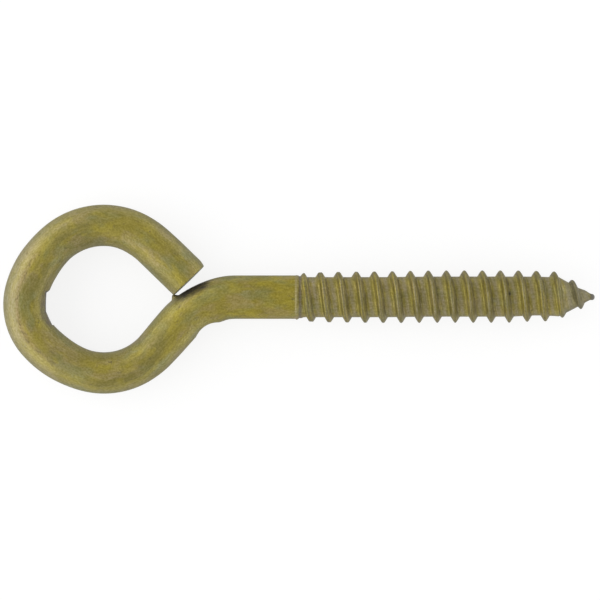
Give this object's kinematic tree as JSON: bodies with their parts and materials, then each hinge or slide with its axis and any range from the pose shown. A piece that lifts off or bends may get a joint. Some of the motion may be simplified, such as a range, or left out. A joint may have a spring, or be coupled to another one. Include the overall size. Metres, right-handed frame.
{
  "type": "eye lag bolt",
  "caption": "Eye lag bolt of one bent round wire: a closed eye at one end and a coarse right-hand wood thread with a gimlet point at the other.",
  "frame": {"origin": "middle of the eye, in the plane of the eye and on the axis of the shank", "axes": "+X along the shank to the point, +Y to the side of the eye where the wire ends, +Z square to the plane of the eye"},
  "size_m": [0.1077, 0.0347, 0.0096],
  "materials": {
    "zinc_plated_wire": "yellow chromate over zinc plate, satin and mottled, on cold-drawn steel wire"
  },
  "bodies": {
    "root": {"eye_lag_bolt": "zinc_plated_wire"}
  },
  "joints": []
}
